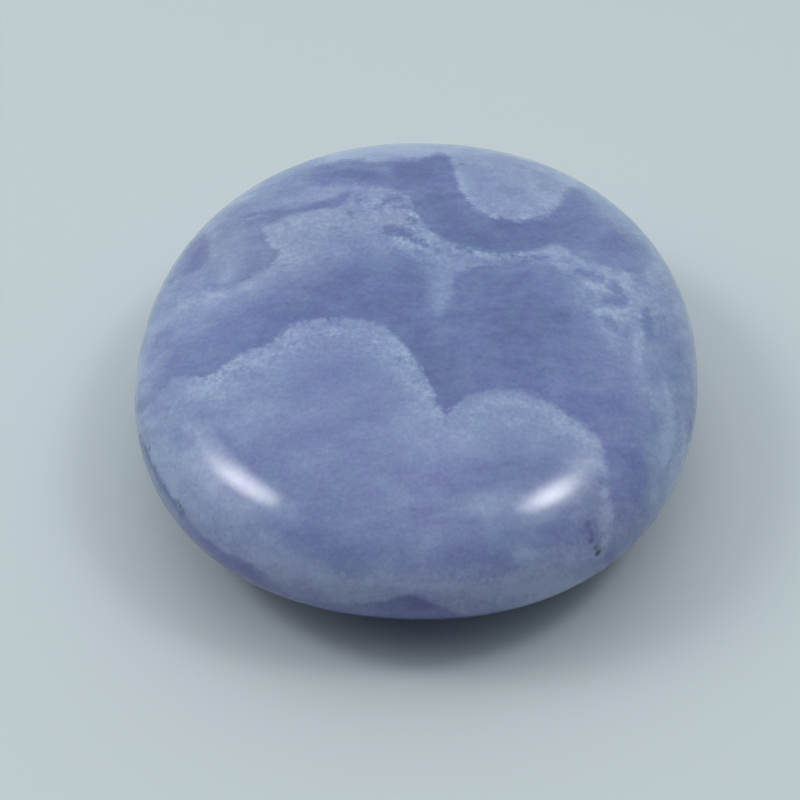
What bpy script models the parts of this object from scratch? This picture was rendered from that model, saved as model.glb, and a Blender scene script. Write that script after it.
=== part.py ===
"""A polished oval palm stone of banded blue chalcedony: one solid piece of rock.

Metres, +Z up. The origin is under the middle of the stone, on the surface that it rests on.
+Y runs along the stone's long axis and +X across it.
"""

import math

import bpy
import numpy as np

# Overall size of the stone.
LENGTH = 0.0398
WIDTH = 0.0352
THICKNESS = 0.0130

# The widest outline lies at this height. The dome above it reaches the full thickness.
WAIST_HEIGHT = 0.0065

# 2 would be an ellipse. A larger value squares the curve and makes its shoulders tighter.
PLAN_SQUARENESS = 2.15
SIDE_SQUARENESS = 2.30

# The underside curves down like the dome, and from this latitude to its middle it is lapped flat.
FLAT_LATITUDE = math.radians(75.0)
UNDERSIDE_DEPTH = WAIST_HEIGHT / math.sin(FLAT_LATITUDE) ** (2.0 / SIDE_SQUARENESS)

# The far end is a little blunter than the near one, by this share of the outline's radius.
BLUNT_END = 0.0084
LOBES = 3

# The grid of the polished surface. One of its rings lies at the edge of the flat.
SEGMENTS_ROUND = 96
RINGS = 48

STONE_COLOUR = (0.205, 0.255, 0.430, 1.0)
POLISHED_ROUGHNESS = 0.12
CHALCEDONY_IOR = 1.54


def clear_scene():
    """Remove the objects that the scene starts with."""
    for old in list(bpy.data.objects):
        bpy.data.objects.remove(old, do_unlink=True)


def outline(angle):
    """The widest outline of the stone at an angle round it, seen from above: an oval with one blunter end."""
    across, along = math.cos(angle), math.sin(angle)
    reach = (abs(across) ** PLAN_SQUARENESS + abs(along) ** PLAN_SQUARENESS) ** (-1.0 / PLAN_SQUARENESS)
    reach *= 1.0 - BLUNT_END * math.sin(LOBES * angle)
    return 0.5 * WIDTH * across * reach, 0.5 * LENGTH * along * reach


def section(sine):
    """How far out, as a share of the outline, and how high the surface lies at this sine of the latitude."""
    cosine = math.sqrt(max(0.0, 1.0 - sine * sine))
    outwards = cosine ** (2.0 / SIDE_SQUARENESS)
    rise = abs(sine) ** (2.0 / SIDE_SQUARENESS)
    if sine >= 0.0:
        return outwards, WAIST_HEIGHT + rise * (THICKNESS - WAIST_HEIGHT)
    return outwards, max(0.0, WAIST_HEIGHT - rise * UNDERSIDE_DEPTH)


def on_stone(point):
    """Where a point of the unit sphere lies on the stone."""
    x, y = outline(math.atan2(point.y, point.x))
    outwards, height = section(max(-1.0, min(1.0, point.z)))
    return x * outwards, y * outwards, height


def centre_over_origin(places):
    """The places moved level, so that the middle of their box is over the origin."""
    middle = 0.5 * (places.min(axis=0) + places.max(axis=0))
    middle[2] = 0.0
    return places - middle


def polished_chalcedony():
    """The material of the stone: a glossy, pale lavender blue."""
    material = bpy.data.materials.new("chalcedony")
    material.use_nodes = True
    surface = material.node_tree.nodes["Principled BSDF"]
    surface.inputs["Base Color"].default_value = STONE_COLOUR
    surface.inputs["Roughness"].default_value = POLISHED_ROUGHNESS
    surface.inputs["IOR"].default_value = CHALCEDONY_IOR
    return material


def make_stone():
    """The whole stone: a sphere whose points are moved to the domed oval, smooth all over."""
    bpy.ops.mesh.primitive_uv_sphere_add(segments=SEGMENTS_ROUND, ring_count=RINGS, radius=1.0)
    stone = bpy.context.active_object
    stone.name = "chalcedony_stone"
    stone.data.name = "chalcedony_stone"
    places = np.array([on_stone(vertex.co) for vertex in stone.data.vertices])
    stone.data.vertices.foreach_set("co", centre_over_origin(places).ravel())
    stone.data.update()
    stone.data.shade_smooth()
    stone.data.materials.append(polished_chalcedony())
    return stone


def gather(name, objects):
    """Put the objects in one collection of this name."""
    collection = bpy.data.collections.new(name)
    bpy.context.scene.collection.children.link(collection)
    for thing in objects:
        for old in list(thing.users_collection):
            old.objects.unlink(thing)
        collection.objects.link(thing)


def main():
    clear_scene()
    gather("blue_chalcedony_palm_stone", [make_stone()])


main()
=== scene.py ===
"""The looks of a polished palm stone of banded blue chalcedony, on a plain pale floor.

Metres, +Z up. The markings are laid out in the pixels of the 800 x 800 reference view: a point of
the stone takes the marking at the pixel where that view sees it, so each band runs on through the stone.
"""

import math

import bpy
import numpy as np
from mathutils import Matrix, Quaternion, Vector


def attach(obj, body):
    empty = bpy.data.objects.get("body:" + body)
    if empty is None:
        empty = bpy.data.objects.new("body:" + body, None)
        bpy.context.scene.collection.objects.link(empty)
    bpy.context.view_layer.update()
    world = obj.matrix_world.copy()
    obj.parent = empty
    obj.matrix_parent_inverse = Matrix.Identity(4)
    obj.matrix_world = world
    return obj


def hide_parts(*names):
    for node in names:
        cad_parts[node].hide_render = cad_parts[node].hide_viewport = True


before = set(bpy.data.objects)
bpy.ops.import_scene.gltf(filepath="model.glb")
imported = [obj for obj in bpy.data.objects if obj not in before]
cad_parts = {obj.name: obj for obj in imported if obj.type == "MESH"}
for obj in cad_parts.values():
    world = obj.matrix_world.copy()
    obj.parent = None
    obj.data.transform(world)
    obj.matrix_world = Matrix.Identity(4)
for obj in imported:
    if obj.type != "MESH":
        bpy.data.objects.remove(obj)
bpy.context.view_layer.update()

# The stone's own size and form, as in the part's source.
LENGTH = 0.0398
WIDTH = 0.0352
THICKNESS = 0.0130
WAIST_HEIGHT = 0.0065
PLAN_SQUARENESS = 2.15
SIDE_SQUARENESS = 2.30
FLAT_LATITUDE = math.radians(75.0)
UNDERSIDE_DEPTH = WAIST_HEIGHT / math.sin(FLAT_LATITUDE) ** (2.0 / SIDE_SQUARENESS)
BLUNT_END = 0.0084
LOBES = 3

# The fine grid of the polished surface. One of its rings lies at the edge of the flat.
SEGMENTS_ROUND = 320
RINGS = 312

# The reference view.
FRAME_PIXELS = 800
FOCAL_PIXELS = 3480.0
VIEW_AZIMUTH = math.radians(4.45)
VIEW_ELEVATION = math.radians(44.5)
VIEW_DISTANCE = 0.218
LOOKS_AT = Vector((-0.00095, -0.00243, 0.0060))
SENSOR_WIDTH = 36.0
CLIP_START = 0.01

# How many pixels of that view a millimetre of the stone takes, and a millimetre in metres.
PIXELS_PER_MM = 15.9
MM = 0.001

# The markings are in pixels of the reference view.

# The lower edge of the pale upper half: a band from the left, a branch, a vein and the right margin.
# Its last points close it outside the stone.
ROOF = [
    (100, 358), (140, 354), (165, 343), (190, 332), (215, 320), (234, 307), (249, 294), (268, 284),
    (290, 276), (310, 268), (330, 260), (352, 254), (375, 251), (396, 251), (411, 256), (424, 266),
    (429, 280), (429, 294), (431, 304), (437, 314), (444, 308), (450, 300), (453, 285), (460, 272),
    (475, 266), (500, 263), (525, 261), (545, 263), (558, 269), (568, 281), (577, 296), (588, 308),
    (594, 322), (598, 338), (606, 352), (614, 368), (628, 384), (642, 398), (655, 414), (661, 432),
    (662, 450), (658, 470), (650, 492), (640, 515), (720, 560), (760, 300), (640, 90), (400, 60),
    (160, 120), (90, 240),
]

# The dark band along the far edge, which curls round a pale island and runs out to the right.
CURL = [
    (222, 205), (245, 192), (270, 181), (300, 170), (330, 163), (350, 160), (380, 163), (402, 161),
    (422, 159), (438, 154), (449, 158), (453, 167), (456, 178), (460, 190), (468, 201), (481, 213),
    (500, 219), (516, 221), (532, 218), (548, 215), (559, 208), (563, 198), (570, 192), (578, 193),
    (587, 204), (597, 217), (608, 228), (622, 238), (636, 247), (647, 255), (652, 263), (648, 270),
    (640, 273), (622, 270), (603, 266), (585, 260), (570, 252), (559, 244), (547, 246),
    (530, 251), (510, 254), (490, 253), (470, 248), (450, 242), (435, 234), (422, 222), (414, 210),
    (408, 197), (390, 189), (360, 186), (330, 185), (305, 187), (285, 190), (265, 196), (240, 206),
]

# The big pale lobe that fills the near half, with a cusp where its two bulges meet.
LOBE = [
    (100, 440), (142, 410), (160, 391), (172, 379), (186, 374), (201, 377), (216, 374), (229, 361),
    (248, 351), (268, 344), (280, 335), (291, 326), (305, 321), (325, 319), (345, 318), (365, 320),
    (381, 326), (395, 335), (406, 345), (415, 357), (423, 371), (429, 383), (435, 396), (445, 412),
    (457, 405), (465, 398), (481, 391), (500, 388), (520, 390), (540, 396), (556, 406), (571, 415),
    (587, 426), (599, 439), (605, 455), (608, 472), (612, 492), (615, 512), (614, 532), (608, 552),
    (600, 590), (560, 680), (300, 700), (80, 620),
]

# Smaller dark markings in the pale upper half.
LAVENDER_POOL = [
    (230, 218), (242, 219), (255, 221), (262, 227), (265, 237), (270, 245), (276, 252), (280, 257),
    (274, 264), (262, 270), (249, 276), (240, 282), (232, 287), (222, 289), (205, 289), (208, 276),
    (215, 262), (218, 245), (222, 228),
]
FAR_LEFT_LENS = [
    (205, 234), (210, 246), (209, 261), (196, 269), (180, 277), (168, 284), (180, 260), (192, 243),
]

# Dark blotches in the mottled pale rock, as the ends and the half width of each.
BLOTCHES = [
    (563, 260, 571, 260, 2.4), (578, 272, 592, 274, 3.4), (569, 277, 576, 281, 3.2),
    (597, 278, 603, 279, 2.6), (612, 283, 617, 291, 5.0), (603, 301, 612, 299, 4.5),
    (616, 300, 624, 301, 4.0), (603, 317, 609, 318, 3.0), (588, 294, 592, 295, 2.8),
    (593, 306, 598, 306, 1.8), (610, 325, 617, 326, 3.2), (647, 316, 648, 334, 2.6),
    (628, 277, 652, 285, 0.8), (505, 264, 515, 264, 3.0), (529, 264, 536, 266, 3.0),
    (542, 269, 556, 273, 3.5), (389, 230, 407, 235, 5.4), (408, 238, 416, 241, 2.2),
    (421, 242, 427, 245, 1.6), (436, 250, 446, 252, 2.0), (458, 247, 470, 250, 1.6),
    (424, 262, 432, 266, 2.6), (349, 213, 350, 214, 1.0), (384, 200, 402, 199, 2.4),
    (372, 206, 384, 205, 1.9), (392, 207, 408, 206, 2.4), (356, 200, 366, 199, 1.6),
    (650, 318, 664, 318, 1.8), (409, 218, 416, 221, 2.2), (416, 251, 424, 255, 2.2),
]

# The dark underside that shows along the near edge, with a bump in the middle.
NEAR_EDGE = [
    (116, 430), (136, 434), (148, 452), (159, 476), (173, 498), (187, 518), (205, 538), (226, 553),
    (250, 564), (268, 578), (284, 590), (302, 599), (322, 602), (345, 604), (370, 604), (389, 600),
    (407, 596), (425, 599), (440, 606), (462, 615), (490, 624), (530, 650), (470, 720), (200, 700),
    (60, 560),
]

# Lines drawn with a brush: each is a list of points with the brush's half width there.
HAIRLINE = [
    (221, 221, 0.6), (235, 219, 1.2), (248, 216, 1.6), (262, 213, 2.2), (276, 212, 2.8), (290, 212, 2.4),
    (302, 210, 2.4), (314, 207, 2.8), (326, 204, 4.0), (336, 202, 5.0), (343, 198, 3.8), (350, 192, 0.8),
]
VEIN_CRACK = [(512, 257, 0.6), (528, 257, 2.0), (548, 257, 0.6)]
MARGIN_START = [(646, 312, 3.0), (649, 328, 5.0), (650, 345, 4.0)]
MARGIN_LINE = [
    (648, 345, 2.2), (655, 360, 1.8), (664, 376, 1.8), (671, 392, 2.0), (676, 409, 2.2), (678, 426, 2.2),
    (676, 445, 2.0), (670, 463, 1.8), (663, 478, 1.6), (652, 498, 1.2),
]
OUTER_MARGIN_LINE = [(678, 352, 1.0), (684, 365, 3.0), (690, 390, 4.0), (691, 415, 4.0), (688, 440, 2.5)]
RIM_LINE = [(137, 432, 1.4), (148, 452, 1.6), (159, 476, 1.4), (173, 498, 1.8), (184, 514, 1.0)]
POOL_SHADE = [(246, 223, 2.0), (260, 222, 4.5), (272, 219, 4.5), (286, 214, 1.5)]
POOL_EDGE = [
    (260, 235, 0.5), (268, 245, 1.2), (277, 255, 2.4), (270, 264, 2.4), (254, 273, 2.0), (240, 281, 2.0),
    (230, 287, 2.0), (214, 289, 1.4),
]
BRUSHED = [
    HAIRLINE, RIM_LINE, POOL_SHADE, POOL_EDGE, VEIN_CRACK, MARGIN_START, MARGIN_LINE,
    OUTER_MARGIN_LINE,
]

# How many short straight pieces stand in for the curve between two points of a marking.
CURVE_STEPS = 5

# Washes: each has a value, how far it reaches in pixels, and the line of two or more points that it
# follows. Here the value is the tone of the rock, from 0, the deepest lavender, to 1, the whitest frost,
# except in the pale washes that paint light, each noted where it stands.
PLAIN_PALE = 0.72
PALE_AND_PAINTED_LIGHT_WASHES = [
    (0.50, 150, [(230, 470), (400, 460), (560, 500)]),
    (0.50, 60, [(300, 410), (350, 390), (330, 480), (520, 450), (480, 520), (300, 540)]),
    (0.75, 28, [(225, 430), (260, 412), (295, 408)]),
    (0.74, 16, [(235, 384), (280, 378)]),
    (0.84, 8, [(231, 374), (237, 372)]),
    (0.60, 7, [(206, 375), (214, 373)]),
    (0.45, 16, [(255, 474), (300, 446), (332, 434)]),
    (0.48, 14, [(298, 400), (312, 385)]),
    (0.90, 22, [(160, 418), (190, 392), (222, 382)]),
    (0.72, 13, [(228, 376), (262, 357), (290, 342)]),
    (0.78, 10, [(290, 342), (305, 336)]),
    (0.70, 11, [(320, 332), (350, 331), (375, 338)]),
    (0.78, 16, [(385, 350), (402, 370), (418, 392), (432, 415), (447, 428)]),
    (0.80, 7, [(397, 343), (407, 354), (415, 366)]),
    (0.60, 8, [(414, 400), (424, 406)]),
    (0.72, 20, [(405, 430), (430, 445), (455, 440), (480, 424), (520, 420), (560, 426), (590, 440)]),
    (0.76, 11, [(447, 420), (470, 408), (500, 401), (530, 405), (552, 416), (575, 430), (594, 450)]),
    (0.58, 7, [(460, 408), (470, 402)]),
    (0.92, 8, [(564, 425), (580, 433)]),
    (0.68, 7, [(594, 443), (603, 451)]),
    (0.84, 7, [(602, 468), (612, 474), (622, 482)]),
    (0.63, 24, [(470, 530), (500, 518), (545, 530), (480, 548)]),
    # Painted glow: a halo of light to the left of the right highlight.
    (0.74, 12, [(482, 506), (514, 503)]),
    (0.30, 8, [(452, 488), (490, 481), (520, 476), (545, 466)]),
    (0.36, 6, [(460, 474), (490, 468), (520, 462)]),
    (0.38, 22, [(345, 488), (392, 488)]),
    (0.66, 13, [(255, 508), (290, 516)]),
    (0.48, 12, [(385, 480), (405, 500), (435, 515)]),
    (0.44, 7, [(425, 516), (455, 519), (474, 522)]),
    (0.94, 13, [(523, 557), (565, 556)]),
    (0.86, 26, [(594, 500), (594, 540), (565, 575)]),
    (0.68, 12, [(586, 470), (590, 500), (592, 525)]),
    (0.96, 6, [(606, 492), (609, 515), (603, 542)]),
    (0.55, 5, [(587, 522), (598, 545)]),
    (0.62, 22, [(330, 545), (390, 552), (450, 546)]),
    # Partly pale frost and partly painted light: these wash the lower front near its whitest, so it looks as
    # lit as the rest.
    (0.99, 22, [(560, 586), (500, 588), (440, 586), (400, 580)]),
    (0.95, 24, [(380, 588), (330, 582), (270, 558)]),
    (1.00, 18, [(232, 538), (258, 550)]),
    (0.92, 30, [(160, 455), (172, 480), (190, 505), (225, 530)]),
    (0.86, 16, [(148, 410), (160, 420)]),
    # Painted light beside the left highlight: the next wash paints its glow, and the two after it paint the
    # edge of a reflection, darker inside it and paler outside.
    (0.98, 24, [(188, 468), (206, 492)]),
    (0.48, 9, [(222, 436), (230, 441)]),
    (0.86, 9, [(190, 430), (198, 438)]),
    (0.76, 40, [(155, 315), (185, 270), (225, 250)]),
    (0.88, 9, [
        (150, 328), (172, 317), (192, 306), (212, 299), (232, 289), (252, 280), (270, 268), (278, 260)]),
    (0.69, 30, [(280, 236), (330, 226), (360, 220)]),
    (0.62, 18, [(332, 202), (365, 200)]),
    (0.80, 10, [(308, 220), (322, 224)]),
    (0.60, 18, [(388, 222), (398, 204)]),
    (0.54, 12, [(345, 240), (380, 244)]),
    (0.62, 9, [(255, 196), (285, 193), (325, 190)]),
    (0.76, 5, [(285, 201), (310, 198), (324, 195)]),
    (0.99, 12, [(330, 152), (370, 147), (420, 147), (480, 150), (530, 158), (570, 170)]),
    (0.84, 14, [(580, 178), (610, 205), (640, 232), (660, 250)]),
    (0.96, 10, [(657, 268), (664, 279)]),
    (0.72, 26, [(480, 180), (530, 185)]),
    (0.74, 8, [(470, 204), (484, 211), (508, 214), (530, 211), (550, 203), (558, 190)]),
    (0.90, 7, [(454, 175), (461, 192), (470, 205)]),
    (0.90, 11, [(532, 178), (546, 196)]),
    (0.96, 6, [(547, 205), (556, 200)]),
    (0.96, 10, [(560, 182), (572, 188)]),
    (0.78, 5, [(412, 222), (426, 234), (440, 244)]),
    (0.60, 10, [(440, 250), (470, 258), (520, 259), (550, 258)]),
    (0.84, 3, [(455, 248), (480, 254), (515, 256), (545, 252)]),
    (0.90, 12, [(548, 250), (566, 257), (590, 265), (625, 274)]),
    (0.56, 9, [(424, 262), (434, 276), (436, 300)]),
    (0.64, 8, [(452, 264), (446, 277), (442, 294)]),
    (0.76, 22, [(590, 285), (610, 310), (630, 330)]),
    (0.96, 5, [(624, 284), (632, 292)]),
    (0.98, 6, [(602, 310), (613, 313), (624, 308)]),
    (0.84, 16, [(650, 292), (662, 292), (664, 306)]),
    (0.42, 8, [(626, 331), (630, 343)]),
    (0.88, 8, [(637, 342), (640, 354), (638, 370)]),
    (0.84, 10, [(640, 384), (655, 400), (664, 425), (663, 450), (656, 480)]),
    (0.92, 9, [(668, 392), (674, 425), (670, 466)]),
    (0.84, 16, [(684, 310), (700, 345), (706, 400)]),
    (1.00, 22, [(694, 440), (688, 480), (672, 512)]),
]
PLAIN_DEEP = 0.24
DEEP_WASHES = [
    (0.95, 26, [(140, 385), (148, 355)]),
    (0.84, 22, [(148, 352), (172, 339), (200, 324)]),
    (0.43, 22, [(206, 358), (236, 326)]),
    (0.62, 12, [(181, 354), (182, 366)]),
    (0.56, 15, [(226, 306), (262, 293), (300, 280)]),
    (0.36, 16, [(300, 280), (340, 268), (390, 260)]),
    (0.30, 16, [(290, 300), (340, 285), (390, 280)]),
    (0.34, 15, [(255, 318), (290, 306)]),
    (0.16, 18, [(325, 314), (360, 300), (395, 310)]),
    (0.15, 16, [(415, 335), (430, 365), (442, 392)]),
    (0.22, 12, [(412, 278), (420, 300), (432, 316)]),
    (0.30, 8, [(426, 310), (428, 320)]),
    (0.21, 16, [(465, 280), (500, 278), (545, 284)]),
    (0.12, 6, [(512, 290), (536, 292)]),
    (0.27, 18, [(452, 348), (500, 350), (560, 340)]),
    (0.44, 20, [(572, 305), (586, 325), (596, 350)]),
    (0.27, 15, [(470, 376), (520, 378), (560, 386)]),
    (0.46, 16, [(560, 388), (600, 374), (616, 360)]),
    (0.64, 14, [(596, 392), (614, 380), (628, 380)]),
    (0.17, 14, [(520, 326), (560, 318)]),
    (0.20, 12, [(472, 312), (486, 330)]),
    (0.38, 26, [(590, 415), (615, 425), (630, 445)]),
    (0.54, 14, [(622, 430), (629, 446)]),
    (0.96, 22, [(662, 440), (666, 485), (652, 520)]),
    (0.70, 18, [(616, 474), (622, 500), (620, 545)]),
    (0.62, 12, [(628, 388), (645, 410), (655, 440)]),
    (0.16, 18, [(442, 195), (455, 220), (490, 238), (530, 236), (558, 222)]),
    (0.30, 10, [(444, 170), (448, 186)]),
    (0.66, 20, [(272, 190), (304, 178)]),
    (0.96, 22, [(226, 206), (252, 194)]),
    (0.44, 14, [(318, 184), (350, 182), (390, 184)]),
    (0.09, 8, [(345, 173), (372, 174), (400, 171), (425, 173)]),
    (0.44, 8, [(335, 166), (360, 165), (385, 168)]),
    (0.38, 20, [(572, 214), (590, 232), (620, 250)]),
    (0.43, 9, [(594, 220), (604, 226)]),
    (0.20, 12, [(562, 236), (580, 243)]),
    (0.50, 12, [(625, 260), (640, 266)]),
    (0.98, 14, [(656, 264), (668, 276)]),
    (0.55, 28, [(572, 266), (612, 286), (612, 312), (640, 322)]),
    (0.40, 8, [(647, 316), (648, 334), (664, 318)]),
    (0.52, 9, [(565, 260), (586, 273), (603, 279)]),
    (0.12, 4, [(516, 257), (545, 257)]),
    (0.40, 10, [(506, 264), (532, 266), (552, 272)]),
    (0.72, 26, [(232, 240), (222, 275)]),
    (0.46, 13, [(258, 238), (266, 254)]),
    (0.52, 9, [(252, 224), (266, 221), (280, 218)]),
    (0.34, 4, [stroke[:2] for stroke in POOL_EDGE]),
    (0.62, 9, [(184, 266), (174, 278)]),
    (0.38, 12, [(202, 242), (200, 266)]),
    (0.34, 8, [(250, 216), (290, 212), (343, 200)]),
    (0.22, 8, [(388, 230), (420, 242)]),
    (0.78, 12, [(650, 350), (664, 376), (678, 420), (668, 470)]),
    (0.62, 12, [(684, 360), (691, 410)]),
    (0.40, 40, [(180, 520), (260, 590), (400, 610)]),
    (0.60, 16, [(148, 478), (166, 506), (184, 527)]),
    (0.02, 4, [stroke[:2] for stroke in RIM_LINE]),
]

# Lines that more than one of the next washes follow.
ALONG_HAIRLINE = [(225, 221), (262, 213), (302, 210), (345, 198)]
ALONG_MARGIN = [(655, 360), (678, 425), (663, 478)]
ALONG_NEAR_RIM = [(136, 434), (159, 476), (187, 518), (226, 553)]

# How soft the edges between the pale and the deep rock are, as a half width in pixels.
PLAIN_SOFTNESS = 3.8
SOFTNESS_WASHES = [
    (16.0, 22, [(130, 345), (165, 333), (215, 314), (248, 292), (290, 276), (330, 261), (375, 254)]),
    (8.0, 14, [(398, 251), (426, 270), (430, 300)]),
    (6.5, 10, [(440, 318), (449, 298), (456, 275)]),
    (13.0, 20, [(570, 284), (590, 315), (606, 352), (628, 384), (655, 414), (662, 450), (650, 492)]),
    (13.0, 14, [(578, 196), (597, 217), (622, 238), (636, 248)]),
    (8.0, 14, [(222, 205), (245, 192), (300, 170)]),
    (6.0, 12, [(222, 232), (217, 262), (206, 290)]),
    (3.0, 10, [(160, 396), (218, 368), (280, 335), (345, 318), (395, 335), (423, 371), (445, 412)]),
    (6.0, 10, [(612, 492), (615, 520), (608, 552)]),
    (2.5, 12, ALONG_HAIRLINE),
    (3.5, 9, [(266, 233), (277, 256), (244, 277)]),
    (2.6, 9, [(390, 231), (428, 246)]),
    (2.8, 16, [(565, 260), (590, 274), (614, 286), (612, 302), (606, 318), (616, 326)]),
    (2.4, 8, ALONG_MARGIN),
    (7.0, 8, [(684, 365), (691, 410)]),
    (2.6, 10, ALONG_NEAR_RIM),
]

# How broken and frosty the rock is, from 0, even, to 1.
PLAIN_FROST = 0.22
FROST_WASHES = [
    (0.85, 30, [(290, 240), (330, 228), (380, 215), (410, 228)]),
    (0.70, 12, [(425, 240), (460, 253), (520, 258)]),
    (0.70, 26, [(590, 285), (612, 305), (622, 330)]),
    (0.95, 16, [(205, 385), (262, 360), (300, 335), (350, 328), (400, 355), (430, 400), (450, 425)]),
    (0.80, 15, [(450, 425), (500, 405), (545, 415), (590, 450)]),
    (0.70, 14, [(470, 200), (505, 215), (550, 205)]),
    (0.85, 12, [(602, 500), (606, 520), (602, 545)]),
    (0.10, 9, ALONG_HAIRLINE),
    (0.10, 12, [(552, 252), (590, 264)]),
    (0.10, 12, ALONG_MARGIN),
    (0.10, 12, ALONG_NEAR_RIM),
]

# How far the rock's hue is turned towards violet, as a share of the colour circle.
PLAIN_VIOLET = 0.0
VIOLET_WASHES = [
    (-0.006, 40, [(340, 290), (440, 215), (520, 230), (420, 360)]),
    (0.008, 26, [(545, 395), (600, 390)]),
    (0.007, 22, [(160, 325), (160, 375)]),
    (0.017, 45, [(215, 552), (300, 578), (420, 592), (540, 578), (610, 535)]),
]

# How strong the rock's colour is, as a share of its full strength.
PLAIN_STRENGTH = 1.0
STRENGTH_WASHES = [
    (0.85, 40, [(225, 245), (290, 250)]),
    (0.92, 24, [(330, 225), (400, 215)]),
    (0.90, 18, [(585, 498), (600, 515)]),
]

# The colours of the rock by tone, as 8-bit sRGB of its bare surface.
TONE_COLOURS = [
    (0.00, (84, 94, 145)),
    (0.20, (94, 107, 156)),
    (0.40, (106, 120, 167)),
    (0.60, (118, 134, 174)),
    (0.80, (133, 149, 184)),
    (1.00, (152, 168, 197)),
]

# Small dark inclusions and rim nicks: the place and the half width, in pixels, and how much of the rock
# each hides.
INCLUSIONS = [
    (598, 553, 3.3, 0.90), (596, 548, 2.6, 0.55), (591, 541, 2.4, 0.50), (592, 535, 1.8, 0.28),
    (588, 524, 2.6, 0.28), (609, 531, 2.0, 0.22), (601, 482, 2.2, 0.20), (650, 530, 1.6, 0.50),
    (462, 164, 1.4, 0.45), (140, 436, 2.6, 0.80), (142, 441, 1.8, 0.60), (149, 449, 2.0, 0.55),
    (178, 502, 2.0, 0.55), (180, 506, 2.4, 0.70), (183, 511, 2.2, 0.60),
]
INCLUSION_COLOUR = (42, 50, 62)

# How far the grain shifts an inclusion's edge, and from where outside to where inside it the edge fades,
# in millimetres.
INCLUSION_RAGGED = 0.25
INCLUSION_EDGE = (-0.16, 0.12)

# Mesh points on both sides of the stone can lie near an inclusion's pixel. Of those at most this many
# pixels further off than the closest one, the one nearest the eye is taken.
NEARBY_PIXELS = 4.0

# The noises that break up the rock: the scale of each per millimetre, its detail and its roughness.
ROCK_NOISES = {
    "grain": (3.3, 4.0, 0.7),
    "clots": (1.1, 3.0, 0.6),
    "cloud": (0.42, 4.0, 0.6),
    "broad": (0.14, 2.0, 0.55),
    "hue": (0.8, 3.0, 0.6),
}

# The wisps are noise that is drawn out level in the view and slopes a little. The last value of their noise
# is its distortion.
WISP_NOISE = (1.0, 5.0, 0.65, 0.3)
WISP_SCALE = (0.42, 1.3, 0.6)
WISP_TILT = math.radians(6.0)

# How far the grain and the clots shift the edge of the pale rock, in millimetres: in even rock, and how
# much full frost adds.
EDGE_GRAIN = (0.12, 0.50)
EDGE_CLOTS = (0.30, 0.50)

# How much each noise changes the tone of the pale rock and of the deep rock. Frost adds to the grain.
PALE_GRAIN = (0.45, 0.60)
PALE_CLOUD = 0.55
PALE_WISPS = 0.45
DEEP_GRAIN = 0.55
DEEP_CLOUD = 0.60
DEEP_WISPS = 0.60

# The frosty rim of the pale rock: how wide it is in millimetres, how much paler, and how clotted.
RIM_REACH = 1.6
RIM_TONE = 0.10
RIM_CLOTS = 1.0

# Deeper specks in the frostiest rock: the clots and the frost between which they set in, and how much
# they change the tone.
SPECK_CLOTS = (0.05, 0.13)
SPECK_FROST = (0.72, 1.0)
SPECK_TONE = -0.30

# The middle of the hue input leaves the hue as it is. Two noises turn it a little to either side.
SAME_HUE = 0.5
BROAD_HUE = 0.035
FINE_HUE = 0.05

# How much of the light goes into the rock, how far it reaches there, and the share of that reach for red,
# green and blue light.
TRANSLUCENCE = 0.6
LIGHT_REACH = 0.0025
REACH_BY_COLOUR = (0.8, 0.9, 1.0)
STONE_IOR = 1.54
STONE_ROUGHNESS = 0.10

# The lamps, as seen from the stone: azimuth clockwise from the far side, elevation, width, height and how
# far each is turned about its own aim, all in degrees, the brightness at its brightest place, and where
# that place is across and up its face. From there it fades out towards its rim.
LAMPS = {
    "lamp_left": (-89.3, 46.7, 18.5, 32.0, -42.0, 9.6, (0.47, 0.65)),
    "glow_left": (-98.0, 36.0, 57.0, 44.0, 28.0, 2.0, (0.52, 0.72)),
    "lamp_right": (89.5, 60.0, 17.0, 22.0, 56.0, 12.0, (0.52, 0.57)),
    "glow_right": (80.5, 55.5, 23.0, 48.0, 82.0, 2.6, (0.50, 0.56)),
}
LAMP_DISTANCE = 0.40

# The colour of the sky's light, and how bright it is low down on the far side and on the near side. One
# side passes into the other between these shares of the way along Y, from -1, nearest, to 1, farthest.
SKY_COLOUR = (0.90, 0.96, 1.0)
FAR_BRIGHTNESS = 0.39
NEAR_BRIGHTNESS = 0.0
LOW_SKY_START = -0.8
LOW_SKY_END = 0.1

# Soft caps of sky: the tilt of each towards the far side in degrees, the cosine at its rim and its
# brightness. The low sky fades out under the first of them.
SKY_CAPS = [(0.0, 0.42, 0.46), (28.6, 0.42, 0.41), (0.0, 0.75, 0.66)]

# The floor.
FLOOR_COLOUR = (189, 198, 200)
FLOOR_ROUGHNESS = 0.8
FLOOR_SIZE = 1.2

# The highest level of an 8-bit colour, and a number that only keeps a division from failing.
FULL_LEVEL = 255.0
TINY = 1e-9


def linear(colour):
    """A linear RGBA colour from 8-bit sRGB."""
    shares = [part / FULL_LEVEL for part in colour]
    toe, slope, offset, power = 0.04045, 12.92, 0.055, 2.4
    return tuple(s / slope if s <= toe else ((s + offset) / (1.0 + offset)) ** power for s in shares) + (1.0,)


# The stone's surface.

def outline(angle):
    """The widest outline of the stone at an angle round it, seen from above: an oval with one blunter end."""
    across, along = math.cos(angle), math.sin(angle)
    reach = (abs(across) ** PLAN_SQUARENESS + abs(along) ** PLAN_SQUARENESS) ** (-1.0 / PLAN_SQUARENESS)
    reach *= 1.0 - BLUNT_END * math.sin(LOBES * angle)
    return 0.5 * WIDTH * across * reach, 0.5 * LENGTH * along * reach


def section(sine):
    """How far out, as a share of the outline, and how high the surface lies at this sine of the latitude."""
    cosine = math.sqrt(max(0.0, 1.0 - sine * sine))
    outwards = cosine ** (2.0 / SIDE_SQUARENESS)
    rise = abs(sine) ** (2.0 / SIDE_SQUARENESS)
    if sine >= 0.0:
        return outwards, WAIST_HEIGHT + rise * (THICKNESS - WAIST_HEIGHT)
    return outwards, max(0.0, WAIST_HEIGHT - rise * UNDERSIDE_DEPTH)


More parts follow.
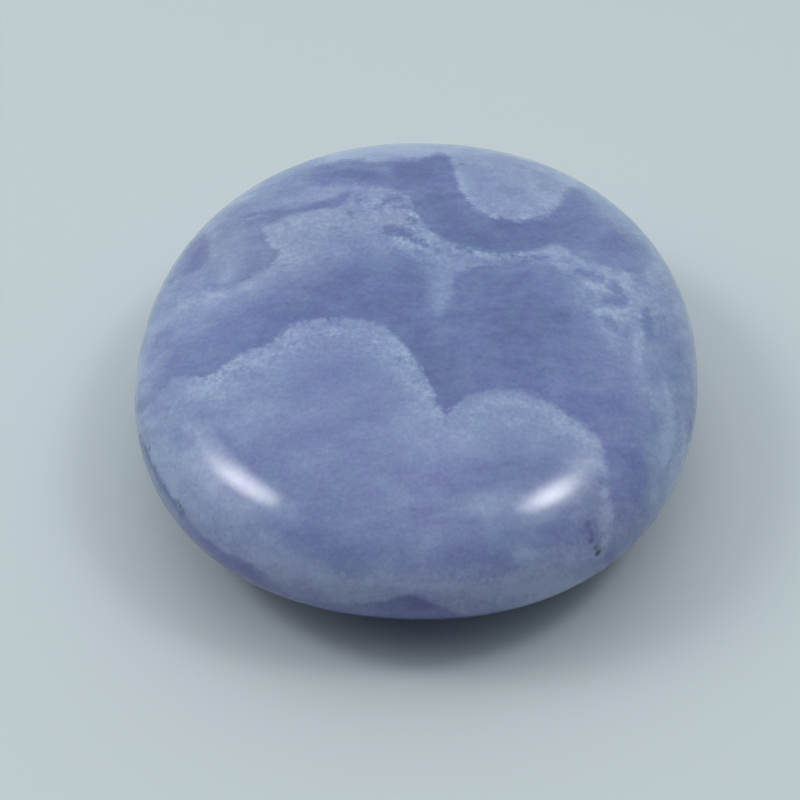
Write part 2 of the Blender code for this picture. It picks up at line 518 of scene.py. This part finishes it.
def on_stone(point):
    """Where a point of the unit sphere lies on the stone."""
    x, y = outline(math.atan2(point.y, point.x))
    outwards, height = section(max(-1.0, min(1.0, point.z)))
    return x * outwards, y * outwards, height


def make_stone():
    """The polished surface as a fine mesh, centred over the origin."""
    bpy.ops.mesh.primitive_uv_sphere_add(segments=SEGMENTS_ROUND, ring_count=RINGS, radius=1.0)
    stone = bpy.context.active_object
    stone.name = "polished_stone"
    stone.data.name = "polished_stone"
    places = np.array([on_stone(vertex.co) for vertex in stone.data.vertices])
    middle = 0.5 * (places.min(axis=0) + places.max(axis=0))
    middle[2] = 0.0
    places -= middle
    stone.data.vertices.foreach_set("co", places.ravel())
    stone.data.update()
    stone.data.shade_smooth()
    return stone, places


# The reference view.

def view_axes():
    """The right, up and forward directions of the reference view."""
    level = math.cos(VIEW_ELEVATION)
    turn = (math.cos(VIEW_AZIMUTH), math.sin(VIEW_AZIMUTH))
    forward = np.array([-turn[1] * level, turn[0] * level, -math.sin(VIEW_ELEVATION)])
    right = np.array([turn[0], turn[1], 0.0])
    return right, np.cross(right, forward), forward


def seen_at(places):
    """The pixels of the reference view where it sees these places."""
    right, up, forward = view_axes()
    eye = np.array(LOOKS_AT) - VIEW_DISTANCE * forward
    offsets = places - eye
    depth = offsets @ forward
    middle = 0.5 * FRAME_PIXELS
    return np.stack([middle + FOCAL_PIXELS * (offsets @ right) / depth,
                     middle - FOCAL_PIXELS * (offsets @ up) / depth], axis=1)


# Drawing the markings on the places seen.

def smooth_line(points, closed=False):
    """A Catmull-Rom curve through the points, as a list of close points."""
    points = np.asarray(points, dtype=float)
    count = len(points)
    spans = count if closed else count - 1
    made = []
    for index in range(spans):
        around = np.arange(index - 1, index + 3)
        around = around % count if closed else around.clip(0, count - 1)
        before, start, end, after = points[around]
        for share in np.arange(CURVE_STEPS) / CURVE_STEPS:
            made.append(0.5 * (2.0 * start + (end - before) * share
                               + (2.0 * before - 5.0 * start + 4.0 * end - after) * share ** 2
                               + (3.0 * start - before - 3.0 * end + after) * share ** 3))
    if not closed:
        made.append(points[-1])
    return np.array(made)


def nearest(seen, line, values=None):
    """How far each pixel is from a line of two or more points, and the line's value at the nearest place."""
    least = np.full(len(seen), np.inf)
    found = np.zeros(len(seen))
    for index in range(len(line) - 1):
        start, run = line[index], line[index + 1] - line[index]
        share = np.clip(((seen - start) @ run) / max(run @ run, TINY), 0.0, 1.0)
        away = np.linalg.norm(seen - start - share[:, None] * run, axis=1)
        if values is not None:
            value = values[index] + share * (values[index + 1] - values[index])
            found = np.where(away < least, value, found)
        least = np.minimum(least, away)
    return least, found


def inside(seen, line):
    """Whether each pixel lies inside a closed line, by counting the crossings to its right."""
    crossings = np.zeros(len(seen), dtype=int)
    for start, end in zip(line, np.roll(line, -1, axis=0)):
        spans = (start[1] > seen[:, 1]) != (end[1] > seen[:, 1])
        if not spans.any():
            continue
        meets = start[0] + (seen[:, 1] - start[1]) * (end[0] - start[0]) / (end[1] - start[1])
        crossings += spans & (seen[:, 0] < meets)
    return crossings % 2 == 1


def depth_in(seen, region):
    """How far inside a region each pixel lies. Outside, it is negative."""
    line = smooth_line(region, closed=True)
    away, _ = nearest(seen, np.vstack([line, line[:1]]))
    return np.where(inside(seen, line), away, -away)


def depth_in_brush(seen, strokes):
    """How far inside a brushed line each pixel lies."""
    line = smooth_line(strokes)
    away, half_width = nearest(seen, line[:, :2], line[:, 2])
    return half_width - away


def washed(seen, plain, washes):
    """A field that starts plain and takes each wash's value near its line."""
    values = np.full(len(seen), plain, dtype=float)
    for value, reach, points in washes:
        away, _ = nearest(seen, np.array(points, dtype=float))
        values += np.exp(-(away / reach) ** 2) * (value - values)
    return values


def pale_depth(seen):
    """How far inside the pale rock each pixel lies. In the deep rock it is negative."""
    depth = depth_in(seen, ROOF)
    for region in (CURL, LAVENDER_POOL, FAR_LEFT_LENS):
        depth = np.minimum(depth, -depth_in(seen, region))
    for strokes in BRUSHED:
        depth = np.minimum(depth, -depth_in_brush(seen, strokes))
    for *ends, half_width in BLOTCHES:
        away, _ = nearest(seen, np.reshape(ends, (2, 2)).astype(float))
        depth = np.minimum(depth, away - half_width)
    depth = np.maximum(depth, depth_in(seen, LOBE))
    return np.minimum(depth, -depth_in(seen, NEAR_EDGE))


def store(mesh, name, values):
    """Keep one number for each point of the mesh, for the material to read."""
    attribute = mesh.attributes.new(name, "FLOAT", "POINT")
    attribute.data.foreach_set("value", np.asarray(values, dtype=np.float32))


def draw_markings(stone, places):
    """Store the fields that the stone's material turns into markings."""
    seen = seen_at(places)
    store(stone.data, "pale_depth", pale_depth(seen) / PIXELS_PER_MM)
    store(stone.data, "pale_tone_and_painted_light", washed(seen, PLAIN_PALE, PALE_AND_PAINTED_LIGHT_WASHES))
    store(stone.data, "deep_tone", washed(seen, PLAIN_DEEP, DEEP_WASHES))
    store(stone.data, "softness", washed(seen, PLAIN_SOFTNESS, SOFTNESS_WASHES) / PIXELS_PER_MM)
    store(stone.data, "frost", washed(seen, PLAIN_FROST, FROST_WASHES))
    store(stone.data, "violet", washed(seen, PLAIN_VIOLET, VIOLET_WASHES))
    store(stone.data, "strength", washed(seen, PLAIN_STRENGTH, STRENGTH_WASHES))


# The stone's material.

def add(tree, kind, inputs=None, **settings):
    """A shader node with its settings, and its inputs linked or given a value."""
    made = tree.nodes.new(kind)
    for name, value in settings.items():
        setattr(made, name, value)
    for key, value in (inputs or {}).items():
        if isinstance(value, bpy.types.NodeSocket):
            tree.links.new(value, made.inputs[key])
        else:
            made.inputs[key].default_value = value
    return made


def maths(tree, operation, first, second=0.0, third=0.0):
    """The result of a Math node."""
    return add(tree, "ShaderNodeMath", {0: first, 1: second, 2: third}, operation=operation).outputs[0]


def field(tree, name):
    """A number that the mesh stores for each point."""
    return add(tree, "ShaderNodeAttribute", attribute_name=name).outputs["Fac"]


def noise(tree, where, scale, detail, roughness, distortion=0.0):
    """Noise from about -0.5 to 0.5."""
    made = add(tree, "ShaderNodeTexNoise", {
        "Vector": where, "Scale": scale, "Detail": detail, "Roughness": roughness,
        "Distortion": distortion})
    return maths(tree, "SUBTRACT", made.outputs["Fac"], 0.5)


def blend_by(tree, share, low, high):
    """A number between low and high by a share. A Mix node takes its two numbers at inputs 2 and 3."""
    made = add(tree, "ShaderNodeMix", {0: share, 2: low, 3: high}, data_type="FLOAT")
    return made.outputs[0]


def step(tree, value, start, end):
    """A smooth step from 0 at start to 1 at end."""
    made = add(tree, "ShaderNodeMapRange", {"Value": value, "From Min": start, "From Max": end},
               interpolation_type="SMOOTHSTEP")
    return made.outputs["Result"]


def weighed(tree, base, *parts):
    """A base number plus each part times its weight."""
    total = base
    for weight, part in parts:
        total = maths(tree, "MULTIPLY_ADD", part, weight, total)
    return total


def by_frost(tree, weights, frost):
    """A noise's weight: the one for even rock, and what full frost adds to it."""
    even, added = weights
    return weighed(tree, even, (added, frost))


def place_in_mm(tree):
    """The place on the stone, in millimetres."""
    place = add(tree, "ShaderNodeTexCoord").outputs["Object"]
    return add(tree, "ShaderNodeVectorMath", {0: place, "Scale": 1.0 / MM}, operation="SCALE").outputs[0]


def wispy_place(tree, where):
    """The place turned to face the reference view and drawn out, so that noise makes level wisps of it."""
    facing = (VIEW_ELEVATION - 0.5 * math.pi, 0.0, -VIEW_AZIMUTH)
    upright = add(tree, "ShaderNodeMapping", {"Vector": where, "Rotation": facing}).outputs[0]
    slope = (0.0, 0.0, -WISP_TILT)
    sloping = add(tree, "ShaderNodeMapping", {"Vector": upright, "Rotation": slope}).outputs[0]
    return add(tree, "ShaderNodeMapping", {"Vector": sloping, "Scale": WISP_SCALE}).outputs[0]


def rock_noises(tree):
    """The noises that break up the rock, by name."""
    where = place_in_mm(tree)
    noises = {name: noise(tree, where, *settings) for name, settings in ROCK_NOISES.items()}
    noises["wisps"] = noise(tree, wispy_place(tree, where), *WISP_NOISE)
    return noises


def rock_tone(tree, noises):
    """How pale the rock is at each point, with painted light in a few places."""
    frost = field(tree, "frost")
    depth = weighed(
        tree, field(tree, "pale_depth"),
        (by_frost(tree, EDGE_GRAIN, frost), noises["grain"]),
        (by_frost(tree, EDGE_CLOTS, frost), noises["clots"]))
    softness = field(tree, "softness")
    pale_share = step(tree, depth, maths(tree, "MULTIPLY", softness, -1.0), softness)
    rim = maths(tree, "MULTIPLY", step(tree, depth, RIM_REACH, 0.0), frost)
    pale = weighed(
        tree, field(tree, "pale_tone_and_painted_light"),
        (by_frost(tree, PALE_GRAIN, frost), noises["grain"]),
        (PALE_CLOUD, noises["cloud"]),
        (PALE_WISPS, noises["wisps"]),
        (weighed(tree, RIM_TONE, (RIM_CLOTS, noises["clots"])), rim))
    deep = weighed(
        tree, field(tree, "deep_tone"),
        (DEEP_GRAIN, noises["grain"]),
        (DEEP_CLOUD, noises["cloud"]),
        (DEEP_WISPS, noises["wisps"]))
    clotted = step(tree, noises["clots"], *SPECK_CLOTS)
    specks = maths(tree, "MULTIPLY", clotted, step(tree, frost, *SPECK_FROST))
    return weighed(tree, blend_by(tree, pale_share, deep, pale), (SPECK_TONE, specks))


def rock_colour(tree, tone, noises):
    """The colour of the rock by its tone, a little more violet or blue in places."""
    ramp = add(tree, "ShaderNodeValToRGB", {"Fac": tone})
    stops = ramp.color_ramp.elements
    for place, _ in TONE_COLOURS[1:-1]:
        stops.new(place)
    for stop, (_, colour) in zip(stops, TONE_COLOURS):
        stop.color = linear(colour)
    hue = weighed(
        tree, SAME_HUE,
        (BROAD_HUE, noises["broad"]),
        (FINE_HUE, noises["hue"]),
        (1.0, field(tree, "violet")))
    return add(tree, "ShaderNodeHueSaturation", {
        "Hue": hue, "Saturation": field(tree, "strength"), "Color": ramp.outputs["Color"]}).outputs[0]


def seen_place(stone, places, pixel):
    """The place on the stone that the reference view sees at this pixel."""
    right, up, forward = view_axes()
    eye = np.array(LOOKS_AT) - VIEW_DISTANCE * forward
    off_pixel = np.linalg.norm(seen_at(places) - np.array(pixel), axis=1)
    close = np.flatnonzero(off_pixel < off_pixel.min() + NEARBY_PIXELS)
    index = int(close[np.argmin(np.linalg.norm(places[close] - eye, axis=1))])
    normal = np.array(stone.data.vertices[index].normal)
    across, down = (np.array(pixel) - 0.5 * FRAME_PIXELS) / FOCAL_PIXELS
    ray = forward + across * right - down * up
    return eye + ((places[index] - eye) @ normal) / (ray @ normal) * ray


def with_inclusions(tree, colour, stone, places, noises):
    """The rock's colour with the small dark inclusions in it."""
    object_place = add(tree, "ShaderNodeTexCoord").outputs["Object"]
    darkest = 0.0
    for across, down, half_width, strength in INCLUSIONS:
        middle = seen_place(stone, places, (across, down))
        away = add(tree, "ShaderNodeVectorMath", {0: object_place, 1: tuple(middle)}, operation="DISTANCE")
        reach = maths(tree, "MULTIPLY_ADD", away.outputs["Value"], -1.0 / MM, half_width / PIXELS_PER_MM)
        ragged = weighed(tree, reach, (INCLUSION_RAGGED, noises["grain"]))
        share = maths(tree, "MULTIPLY", step(tree, ragged, *INCLUSION_EDGE), strength)
        darkest = maths(tree, "MAXIMUM", darkest, share)
    # A Mix node takes its two colours at inputs 6 and 7, and gives the mixed one at output 2.
    blended = {0: darkest, 6: colour, 7: linear(INCLUSION_COLOUR)}
    made = add(tree, "ShaderNodeMix", blended, data_type="RGBA")
    return made.outputs[2]


def chalcedony(stone, places):
    """The material of the polished stone: banded lavender rock with frosty edges, faintly see-through."""
    material = bpy.data.materials.new("polished_chalcedony")
    material.use_nodes = True
    tree = material.node_tree
    surface = tree.nodes["Principled BSDF"]
    noises = rock_noises(tree)
    colour = rock_colour(tree, rock_tone(tree, noises), noises)
    tree.links.new(with_inclusions(tree, colour, stone, places, noises), surface.inputs["Base Color"])
    surface.inputs["Roughness"].default_value = STONE_ROUGHNESS
    surface.inputs["IOR"].default_value = STONE_IOR
    surface.inputs["Subsurface Weight"].default_value = TRANSLUCENCE
    surface.inputs["Subsurface Radius"].default_value = REACH_BY_COLOUR
    surface.inputs["Subsurface Scale"].default_value = LIGHT_REACH
    return material


# The studio.

def aimed(thing, place, target):
    """Put a lamp or camera at a place, looking at the target."""
    thing.location = place
    thing.rotation_mode = "QUATERNION"
    thing.rotation_quaternion = (Vector(target) - Vector(place)).to_track_quat("-Z", "Y")


def fade_to_rim(lamp, brightest):
    """Make a lamp brightest at one place of its face, and dark at its rim."""
    lamp.use_nodes = True
    tree = lamp.node_tree
    place = add(tree, "ShaderNodeNewGeometry").outputs["Parametric"]
    reach = [1.0 / max(share, 1.0 - share) for share in brightest] + [0.0]
    away = add(tree, "ShaderNodeVectorMath", {0: place, 1: tuple(brightest) + (0.0,)}, operation="SUBTRACT")
    away = add(tree, "ShaderNodeVectorMath", {0: away.outputs[0], 1: reach}, operation="MULTIPLY")
    away = add(tree, "ShaderNodeVectorMath", {0: away.outputs[0]}, operation="LENGTH")
    tree.links.new(step(tree, away.outputs["Value"], 1.0, 0.0), tree.nodes["Emission"].inputs["Strength"])


def add_lamp(name, azimuth, elevation, width, height, turned, brightness, brightest):
    """A soft lamp aimed at the stone."""
    lamp = bpy.data.lights.new(name, "AREA")
    lamp.shape = "RECTANGLE"
    lamp.size = 2.0 * LAMP_DISTANCE * math.tan(math.radians(0.5 * width))
    lamp.size_y = 2.0 * LAMP_DISTANCE * math.tan(math.radians(0.5 * height))
    lamp.energy = brightness * math.pi * lamp.size * lamp.size_y
    fade_to_rim(lamp, brightest)
    thing = bpy.data.objects.new(name, lamp)
    bpy.context.scene.collection.objects.link(thing)
    turn, rise = math.radians(azimuth), math.radians(elevation)
    middle = Vector((0.0, 0.0, 0.5 * THICKNESS))
    way = Vector((math.sin(turn) * math.cos(rise), math.cos(turn) * math.cos(rise), math.sin(rise)))
    aimed(thing, middle + LAMP_DISTANCE * way, middle)
    thing.rotation_quaternion = thing.rotation_quaternion @ Quaternion((0.0, 0.0, 1.0), math.radians(turned))


def soft_cap(tree, way, tilt, rim):
    """How far a direction lies inside a soft cap of sky that is tilted towards the far side."""
    lean = math.radians(tilt)
    middle = (0.0, math.sin(lean), math.cos(lean))
    cosine = add(tree, "ShaderNodeVectorMath", {0: way, 1: middle}, operation="DOT_PRODUCT").outputs["Value"]
    return step(tree, cosine, rim, 1.0)


def add_surroundings():
    """Soft light from the sky, strongest from overhead and weakest low down on the near side."""
    world = bpy.data.worlds.new("surroundings")
    bpy.context.scene.world = world
    world.use_nodes = True
    tree = world.node_tree
    background = tree.nodes["Background"]
    background.inputs["Color"].default_value = SKY_COLOUR + (1.0,)
    way = add(tree, "ShaderNodeTexCoord").outputs["Generated"]
    along = add(tree, "ShaderNodeSeparateXYZ", {0: way}).outputs["Y"]
    low = blend_by(tree, step(tree, along, LOW_SKY_START, LOW_SKY_END), NEAR_BRIGHTNESS, FAR_BRIGHTNESS)
    caps = [(brightness, soft_cap(tree, way, tilt, rim)) for tilt, rim, brightness in SKY_CAPS]
    low = blend_by(tree, caps[0][1], low, 0.0)
    tree.links.new(weighed(tree, low, *caps), background.inputs["Strength"])


def add_floor():
    """The plain pale floor."""
    bpy.ops.mesh.primitive_plane_add(size=FLOOR_SIZE)
    floor = bpy.context.active_object
    floor.name = "floor"
    material = bpy.data.materials.new("floor_paint")
    material.use_nodes = True
    surface = material.node_tree.nodes["Principled BSDF"]
    surface.inputs["Base Color"].default_value = linear(FLOOR_COLOUR)
    surface.inputs["Roughness"].default_value = FLOOR_ROUGHNESS
    floor.data.materials.append(material)


def add_camera():
    """The camera of the reference view."""
    data = bpy.data.cameras.new("camera")
    data.sensor_width = SENSOR_WIDTH
    data.lens = FOCAL_PIXELS / FRAME_PIXELS * SENSOR_WIDTH
    data.clip_start = CLIP_START
    camera = bpy.data.objects.new("camera", data)
    bpy.context.scene.collection.objects.link(camera)
    forward = Vector(view_axes()[2])
    aimed(camera, LOOKS_AT - VIEW_DISTANCE * forward, LOOKS_AT)
    bpy.context.scene.camera = camera


add_camera()
add_floor()
add_surroundings()
for lamp_name, lamp_values in LAMPS.items():
    add_lamp(lamp_name, *lamp_values)

stone, stone_places = make_stone()
draw_markings(stone, stone_places)
stone.data.materials.append(chalcedony(stone, stone_places))
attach(stone, "root")
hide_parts("chalcedony_stone")
bpy.context.scene.view_settings.view_transform = "Standard"
